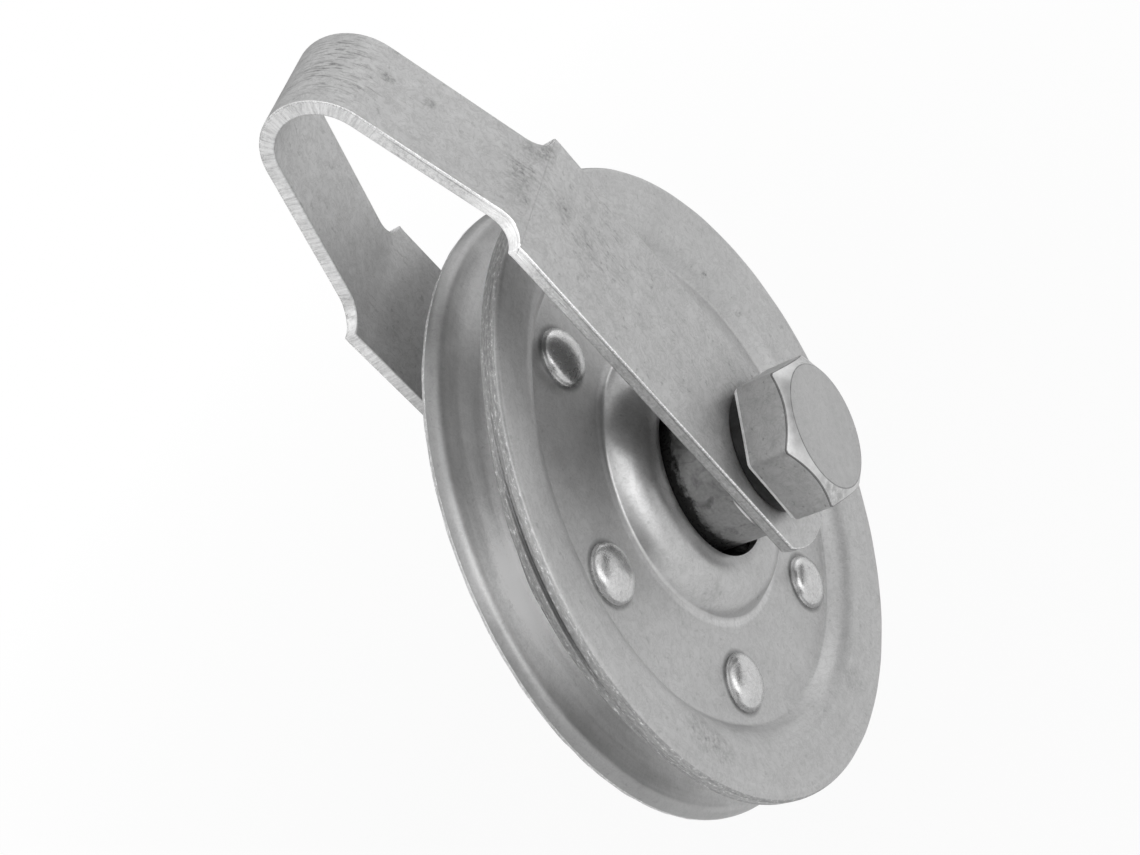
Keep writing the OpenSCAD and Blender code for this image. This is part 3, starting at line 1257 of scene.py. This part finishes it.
@dataclass
class Fork:
    """Strap, bolt, washer and nut. Sizes in millimetres, angles in degrees.

    Attributes:
        strap_t: Thickness of the strap.
        ear_y: Distance of the ears' outer faces from the mid-plane.
        ear_end_r: Distance from the axle to an ear's end.
        knee_z: Height of the knee, where an ear's outer face bends into the leg.
        knee_bend: Inner radius of the knee's bend.
        loop_z: Height of the loop's centre.
        loop_r: Outer radius of the loop.
        washer_r: Radius of the washer.
        washer_t: Its thickness.
        washer_chamfer: Its chamfer.
        hex_af: Width across the flats of head and nut.
        hex_top: Radius of the flat top, as a share of half that width.
        hex_chamfer: Slope of the chamfer.
        hex_corner: Share of the corners' radius that is left by their rounding.
        hex_soft: Half the angle over which a corner is rounded.
        head_h: Height of the head.
        head_turn: Turn of the head.
        nut_h: Height of the nut.
        nut_turn: Turn of the nut.
        bolt_r: Radius of the bolt.
        bore_r: Radius of the holes for it.
        bolt_out: Length of the bolt past the nut.
        bolt_chamfer: Chamfer of its end.
        thread_l: Length of the thread.
        thread_depth: Depth of the thread.
        thread_steps: Rings per turn of the thread.
        thread_fade: Rings over which the thread's cut reaches its depth.
        pitch: Pitch of the thread.
        edge_bevel: Bevel of the strap's cut edges.
    """

    strap_t: float = 1.6
    ear_y: float = 12.2
    ear_end_r: float = 12.1
    knee_z: float = 41.9
    knee_bend: float = 8.0
    loop_z: float = 58.1
    loop_r: float = 6.7
    washer_r: float = 7.5
    washer_t: float = 1.6
    washer_chamfer: float = 0.25
    hex_af: float = 16.0
    hex_top: float = 0.91
    hex_chamfer: float = 35.0
    hex_corner: float = 0.988
    hex_soft: float = 1.25
    head_h: float = 6.4
    head_turn: float = -2.0
    nut_h: float = 8.4
    nut_turn: float = 17.0
    bolt_r: float = 5.0
    bore_r: float = 5.1
    bolt_out: float = 2.4
    bolt_chamfer: float = 0.8
    thread_l: float = 14.1
    thread_depth: float = 0.9
    thread_steps: int = 10
    thread_fade: int = 12
    pitch: float = 1.5
    edge_bevel: float = 0.16

    def build(self, maker: Maker) -> None:
        """Makes the strap and the fasteners.

        Args:
            maker: Makes and dresses the pieces.
        """
        self._strap(maker)
        self._washer(maker)
        self._bolt(maker)
        self._nut(maker)

    def centreline(self) -> list[tuple[Vector, Vector]]:
        """Draws the middle of the strap's sheet in side view, from ear over loop to ear.

        Returns:
            Evenly spaced points and outward normals, as (y, z).
        """
        mid = self.strap_t / 2
        lean = math.atan2(self.ear_y, self.loop_z - self.knee_z)
        lean -= math.asin(self.loop_r / math.hypot(self.ear_y, self.loop_z - self.knee_z))
        bend = self.knee_bend + self.strap_t
        knee = Vector((self.ear_y - bend, self.knee_z - bend * math.tan(lean / 2)))
        # Ear, knee and half the loop, then the same mirrored.
        half = [(Vector((self.ear_y - mid, z)), Vector((1, 0))) for z in (-self.ear_end_r, knee.y)]
        for k in range(9):
            way = Vector((math.cos(lean * k / 8), math.sin(lean * k / 8)))
            half.append((knee + way * (bend - mid), way))
        for k in range(25):
            a = lean + (math.pi / 2 - lean) * k / 24
            way = Vector((math.cos(a), math.sin(a)))
            half.append((Vector((0, self.loop_z)) + way * (self.loop_r - mid), way))
        path = half + [(Vector((-p.x, p.y)), Vector((-n.x, n.y))) for p, n in reversed(half[:-1])]
        fine = []
        for (p, n), (q, m) in zip(path, path[1:]):
            count = max(1, int((q - p).length / 0.2))
            shares = [k / count for k in range(count)]
            fine += [(p.lerp(q, share), n.lerp(m, share).normalized()) for share in shares]
        return fine + [path[-1]]

    def _store_edge(self, form: bmesh.types.BMesh) -> None:
        """Stores at each point how far across the sheet and how far along the strap it lies.

        Args:
            form: The strap's mesh, in millimetres.
        """
        line = self.centreline()
        lengths = [0.0]
        for (p, _), (q, _) in zip(line, line[1:]):
            lengths.append(lengths[-1] + (q - p).length)
        across = form.verts.layers.float.new("across")
        along = form.verts.layers.float.new("along")
        for vert in form.verts:
            at = Vector((vert.co.y, vert.co.z))
            k = min(range(len(line)), key=lambda i: (line[i][0] - at).length_squared)
            vert[across] = 0.5 + (at - line[k][0]).dot(line[k][1]) / self.strap_t
            vert[along] = lengths[k]

    def _strap(self, maker: Maker) -> None:
        """Bevels the strap's cut edges and marks them with their own finish.

        Args:
            maker: Makes and dresses the piece.
        """
        form = bmesh.new()
        form.from_mesh(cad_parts["strap"].data)
        verts, edges = form.verts, form.edges
        bmesh.ops.scale(form, vec=(1 / MM,) * 3, verts=verts)
        bmesh.ops.remove_doubles(form, verts=verts, dist=1e-3)
        bmesh.ops.dissolve_limit(form, angle_limit=SAME_PLANE, verts=verts, edges=edges)
        sharp = [e for e in edges if len(e.link_faces) == 2 and e.calc_face_angle() > CORNER]
        bmesh.ops.bevel(
            form, geom=sharp, offset=self.edge_bevel, segments=3, affect="EDGES", profile=0.5
        )
        many_sided = [f for f in form.faces if len(f.verts) > 4]
        bmesh.ops.triangulate(form, faces=many_sided, ngon_method="BEAUTY")
        for face in form.faces:
            middle, normal = face.calc_center_median(), face.normal
            end = normal.z < -0.3 and middle.z < 0
            shoulder = abs(normal.z) > 0.75 and middle.z < self.loop_z - self.loop_r
            cut = abs(normal.x) > 0.5 or end or shoulder
            face.material_index = StrapZone.CUT if cut else StrapZone.SHEET
        self._store_edge(form)
        skin = ZincFinish(
            "strap_zinc",
            0.59,
            cloud=0.12,
            mottle=0.20,
            vein=0.20,
            rough=0.47,
            specks=0.45,
            streaks=0.3,
            scuffs=STRAP_SCUFFS,
            marks_and_shade=STRAP_MARKS,
        )
        finishes = (skin, ShearedEdge("strap_cut_edge"))
        made = maker.piece(
            "strap_bent", form, Body.FORK, Slot.STRAP, finishes, smooth=30, weighted=True
        )
        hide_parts("strap")

    def _washer(self, maker: Maker) -> None:
        """Makes the washer under the head; its near-black colour is painted shade.

        Args:
            maker: Makes and dresses the piece.
        """
        low, high, c = self.ear_y, self.ear_y + self.washer_t, self.washer_chamfer
        rim, bore = self.washer_r, self.bore_r
        outline = [(bore, low), (rim - c, low), (rim, low + c)]
        outline += [(rim, high - c), (rim - c, high), (bore, high)]
        # Painted shade: the washer is near black to stand in for the shade under the head.
        steel = DarkSteel("washer_painted_shade", tone=0.045, grease=0.4)
        form = Maker.lathe(lambda _: outline, 1, even(128))
        made = maker.piece("head_washer_turned", form, Body.FORK, Slot.DARK, (steel,))
        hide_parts("head_washer")

    def _hex_radius(self, angle: float) -> float:
        """Works out the radius of a hexagon with softened corners.

        Args:
            angle: Angle from one of its corners, in radians.

        Returns:
            The radius there.
        """
        sector = (angle + math.pi / 6) % (math.pi / 3) - math.pi / 6
        sharp = self.hex_af / 2 / math.cos(math.pi / 6 - abs(sector))
        return min(sharp, self.hex_af / math.sqrt(3) * self.hex_corner)

    def _hex_angles(self, turn: float) -> list[float]:
        """Spaces the points of a hexagon's ring, close together about each corner.

        Args:
            turn: The angle of one corner, in radians.

        Returns:
            The angles, in order.
        """
        soft = self.hex_soft
        offsets = [-soft, 0.0, soft] + [soft + (60 - 2 * soft) * k / 10 for k in range(1, 10)]
        corners = [60 * corner for corner in range(6)]
        return [turn + math.radians(corner + offset) for corner in corners for offset in offsets]

    def _bolt(self, maker: Maker) -> None:
        """Makes the bolt with its chamfered head and cut thread.

        Args:
            maker: Makes and dresses the piece.
        """
        flat_top = self.hex_af / 2 * self.hex_top
        slope = math.tan(math.radians(self.hex_chamfer))
        base = -self.ear_y - self.washer_t
        top = base - self.head_h
        end = self.ear_y + self.nut_h + self.bolt_out
        turn = math.radians(-self.head_turn)
        step = self.pitch / self.thread_steps
        head_rows, thread_rows = 12, round(self.thread_l / step) + 1

        def head(angle: float, row: int) -> Point2:
            """A ring of the head, from the middle of its top to the shank.

            Args:
                angle: Where on the ring, in radians.
                row: The ring's number.

            Returns:
                Radius and height.
            """
            r = self._hex_radius(angle - turn)
            drop = top + (r - flat_top) * slope
            rings = (
                (0.5, top),
                (flat_top * 0.5, top),
                (flat_top - 0.07, top),
                (flat_top + 0.07, top + 0.05),
                (r - 0.08, drop - 0.04),
                (r, drop + 0.06),
                (r, drop + 0.20),
                (r, base - 0.62),
                (r - 0.04, base - 0.48),
                (r - 0.30, base - 0.02),
                (r - 0.40, base),
                (self.bolt_r, base),
            )
            return rings[row]

        def thread(angle: float, row: int) -> Point2:
            """A ring of the thread, a V cut that winds along the shank.

            Args:
                angle: Where on the ring, in radians.
                row: The ring's number.

            Returns:
                Radius and height.
            """
            y = end - self.thread_l + row * step
            wind = (y / self.pitch - angle / (2 * math.pi)) % 1.0
            cut = self.thread_depth * abs(2 * wind - 1) * min(1.0, row / self.thread_fade)
            taper = max(0.0, y - (end - self.bolt_chamfer - 0.2))
            return self.bolt_r - cut - taper, y

        def whole(angle: float, row: int) -> Point2:
            """A ring of the head or of the thread, by its number."""
            return head(angle, row) if row < head_rows else thread(angle, row - head_rows)

        # The finish of the band that follows each of the head's rings; the other bands are plain.
        zones = {
            0: BoltZone.TOP,
            1: BoltZone.TOP,
            2: BoltZone.CREASE,
            3: BoltZone.CHAMFER,
            4: BoltZone.EDGE,
            5: BoltZone.EDGE,
            8: BoltZone.BEVEL_HIGHLIGHT,
        }
        form = Maker.turned(
            whole,
            head_rows + thread_rows,
            self._hex_angles(turn),
            lambda row: zones.get(row, BoltZone.SIDE),
        )
        made = maker.piece(
            "axle_bolt_forged", form, Body.FORK, Slot.FASTENER, self._bolt_finishes(), smooth=33
        )
        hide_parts("axle_bolt")

    @staticmethod
    def _bolt_finishes() -> tuple[ZincFinish, ...]:
        """Lists the bolt's finishes in the order of BoltZone.

        Returns:
            The finishes.
        """
        made = {
            BoltZone.SIDE: ZincFinish(
                "bolt_zinc",
                0.50,
                cloud=0.14,
                mottle=0.24,
                vein=0.22,
                rough=0.42,
                specks=0.8,
                grain=0.04,
            ),
            BoltZone.TOP: ZincFinish(
                "bolt_top", 0.47, mottle=0.14, vein=0.12, rough=0.42, specks=0.3, grain=0.03
            ),
            # The chamfer's lighter tone is partly painted highlight.
            BoltZone.CHAMFER: ZincFinish(
                "bolt_chamfer", 0.62, cloud=0.14, mottle=0.14, specks=0.2, marks_and_shade=HEAD_MARKS
            ),
            BoltZone.EDGE: ZincFinish(
                "bolt_edge", 0.20, cloud=0.2, mottle=0.4, rough=0.45, specks=0.2
            ),
            # Painted highlight: the bevel under the head is near white.
            BoltZone.BEVEL_HIGHLIGHT: ZincFinish(
                "bolt_painted_highlight", 0.92, cloud=0.2, mottle=0.4, metallic=0.5, specks=0.2
            ),
            BoltZone.CREASE: ZincFinish(
                "bolt_crease", 0.30, cloud=0.3, mottle=0.5, rough=0.45, specks=0.2
            ),
        }
        return tuple(made[zone] for zone in BoltZone)

    def _nut(self, maker: Maker) -> None:
        """Makes the nut, chamfered on both faces.

        Args:
            maker: Makes and dresses the piece.
        """
        flat_top = self.hex_af / 2 * self.hex_top
        low, high = self.ear_y, self.ear_y + self.nut_h
        turn = math.radians(90 - self.nut_turn)
        slope = math.tan(math.radians(self.hex_chamfer))

        def outline(angle: float) -> list[Point2]:
            """The nut's section, inside included.

            Args:
                angle: Where it is taken, in radians.

            Returns:
                The closed outline.
            """
            r = self._hex_radius(angle - turn)
            drop = (r - flat_top) * slope
            return [
                (self.bore_r, low + 0.6),
                (self.bore_r + 0.5, low),
                (flat_top, low),
                (r, low + drop + 0.1),
                (r, high - drop - 0.1),
                (flat_top, high),
                (self.bore_r + 0.5, high),
                (self.bore_r, high - 0.6),
            ]

        steel = ZincFinish("nut_zinc", 0.50, mottle=0.12, rough=0.36)
        form = Maker.lathe(outline, -1, self._hex_angles(turn))
        made = maker.piece("axle_nut_forged", form, Body.FORK, Slot.FASTENER, (steel,), smooth=33)
        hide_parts("axle_nut")


# --------------------------------------------------------------------- studio


@dataclass(frozen=True)
class Lamp:
    """A square soft box.

    Attributes:
        name: Its name.
        azimuth: Where it stands, in degrees from -Y towards +X.
        elevation: Its height over the object, in degrees.
        watts: Its power.
        size: Side length, in metres.
        reach: Distance from the object, in metres.
    """

    name: str
    azimuth: float
    elevation: float
    watts: float
    size: float = 0.35
    reach: float = 0.6

    def place(self, aim: Vector) -> None:
        """Makes the lamp.

        Args:
            aim: The point that it faces.
        """
        a, e = math.radians(self.azimuth), math.radians(self.elevation)
        way = Vector((math.sin(a) * math.cos(e), -math.cos(a) * math.cos(e), math.sin(e)))
        data = bpy.data.lights.new(self.name, "AREA")
        data.shape, data.size, data.energy = "SQUARE", self.size, self.watts
        made = bpy.data.objects.new(self.name, data)
        turn = way.to_track_quat("Z", "Y").to_matrix().to_4x4()
        made.matrix_world = Matrix.Translation(aim + way * self.reach) @ turn
        made.visible_camera = False
        bpy.context.scene.collection.objects.link(made)


@dataclass
class Studio:
    """Floor, lamps, world and camera. Angles in degrees, lengths in metres.

    Attributes:
        azimuth: Where the camera stands, from -Y towards +X.
        elevation: Its height over the object.
        roll: Its roll about its line of sight.
        distance: Its distance from the point that it faces.
        aim: That point.
        lens: Focal length, in millimetres.
        sensor: Sensor width, in millimetres.
        floor_gap: Distance of the floor below the object.
        floor_size: Side length of the floor.
        floor_glow: Share of plain white in what the camera sees of the floor.
        fade: Where the floor begins to fade to white and where it ends, in millimetres.
        sky: Stops of the sky's ramp, from straight down to straight up.
        sky_strength: Strength of the sky.
        lamps: The lamps.
    """

    azimuth: float = -52.13
    elevation: float = 28.63
    roll: float = 43.85
    distance: float = 0.18767
    aim: tuple[float, float, float] = (0.00227, 0.00763, 0.01187)
    lens: float = 50.65
    sensor: float = 36.0
    floor_gap: float = 0.06
    floor_size: float = 6.0
    floor_glow: float = 0.82
    fade: Point2 = (150.0, 450.0)
    sky: tuple[Point2, ...] = ((0.0, 0.0), (0.5, 0.0), (0.62, 0.37), (0.8, 1.13), (1.0, 1.13))
    sky_strength: float = 0.8
    lamps: tuple[Lamp, ...] = (
        Lamp("front_left", 335, 12, 0.59),
        Lamp("front_right", 65, 12, 0.42),
        Lamp("front_high", 335, 40, 0.30),
    )

    def build(self) -> None:
        """Makes everything that isn't the object."""
        self._camera()
        self._floor()
        self._world()
        for lamp in self.lamps:
            lamp.place(Vector(self.aim))
        bpy.context.scene.view_settings.view_transform = "Standard"
        LOG.info("studio: floor, world, camera and %d lamps", len(self.lamps))

    def _camera(self) -> None:
        """Places the camera, rolled about its line of sight."""
        a, e, r = (math.radians(v) for v in (self.azimuth, self.elevation, self.roll))
        back = Vector((math.sin(a) * math.cos(e), -math.cos(a) * math.cos(e), math.sin(e)))
        level = Vector((0, 0, 1)).cross(back).normalized()
        up = back.cross(level) * math.cos(r) + level * math.sin(r)
        data = bpy.data.cameras.new("camera")
        data.lens, data.sensor_width = self.lens, self.sensor
        data.clip_start, data.clip_end = 0.005, 20
        made = bpy.data.objects.new("camera", data)
        turn = Matrix((up.cross(back), up, back)).transposed()
        place = Matrix.Translation(Vector(self.aim) + back * self.distance)
        made.matrix_world = place @ turn.to_4x4()
        bpy.context.scene.collection.objects.link(made)
        bpy.context.scene.camera = made

    def _floor(self) -> None:
        """Lays a pale floor that shows white, plain white far off, and keeps the shadow."""
        low = CAD_BOX[0].z - self.floor_gap
        bpy.ops.mesh.primitive_plane_add(size=self.floor_size, location=(0, 0, low))
        floor = bpy.context.object
        floor.name = "floor"
        g = Graph(bpy.data.materials.new("floor_paper"))
        at = g.coordinates()
        tone = g.mix(g.noise(at, scale=0.01, detail=2.0), grey(0.92), grey(0.95))
        inputs = {"Base Color": tone, "Roughness": 1.0, "Specular IOR Level": 0.0}
        paper = g.wire(g.node("ShaderNodeBsdfPrincipled", {}, inputs))
        white = g.wire(g.node("ShaderNodeEmission", {}, {"Color": grey(1.0), "Strength": 1.0}))
        path = g.node("ShaderNodeLightPath")
        far = g.vector("LENGTH", at, output="Value").above(*self.fade)
        seen = g.wire(path, "Is Camera Ray") * (self.floor_glow + far * (1 - self.floor_glow))
        mixed = g.node("ShaderNodeMixShader", {}, {0: seen, 1: paper, 2: white})
        g.node("ShaderNodeOutputMaterial", {}, {"Surface": g.wire(mixed)})
        floor.data.materials.append(g.owner)

    def _world(self) -> None:
        """A soft sky that brightens upwards, white to the camera."""
        world = bpy.data.worlds.new("studio")
        bpy.context.scene.world = world
        g = Graph(world)
        _, _, height = g.split(g.wire(g.node("ShaderNodeTexCoord"), "Generated"))
        tone = g.wire(g.node("ShaderNodeValToRGB", {"stops": self.sky}, {0: height * 0.5 + 0.5}))
        inputs = {"Color": tone, "Strength": self.sky_strength}
        sky = g.wire(g.node("ShaderNodeBackground", {}, inputs))
        white = g.wire(g.node("ShaderNodeBackground", {}, {"Color": grey(1.0)}))
        seen = g.wire(g.node("ShaderNodeLightPath"), "Is Camera Ray")
        both = g.wire(g.node("ShaderNodeMixShader", {}, {0: seen, 1: sky, 2: white}))
        g.node("ShaderNodeOutputWorld", {}, {"Surface": both})


def main() -> None:
    """Builds the pulley and its studio."""
    logging.basicConfig(level=logging.INFO, format="%(message)s")
    maker = Maker()
    for part in (Sheave(), Bearing(), Fork()):
        part.build(maker)
    Studio().build()


if __name__ == "__main__":
    main()
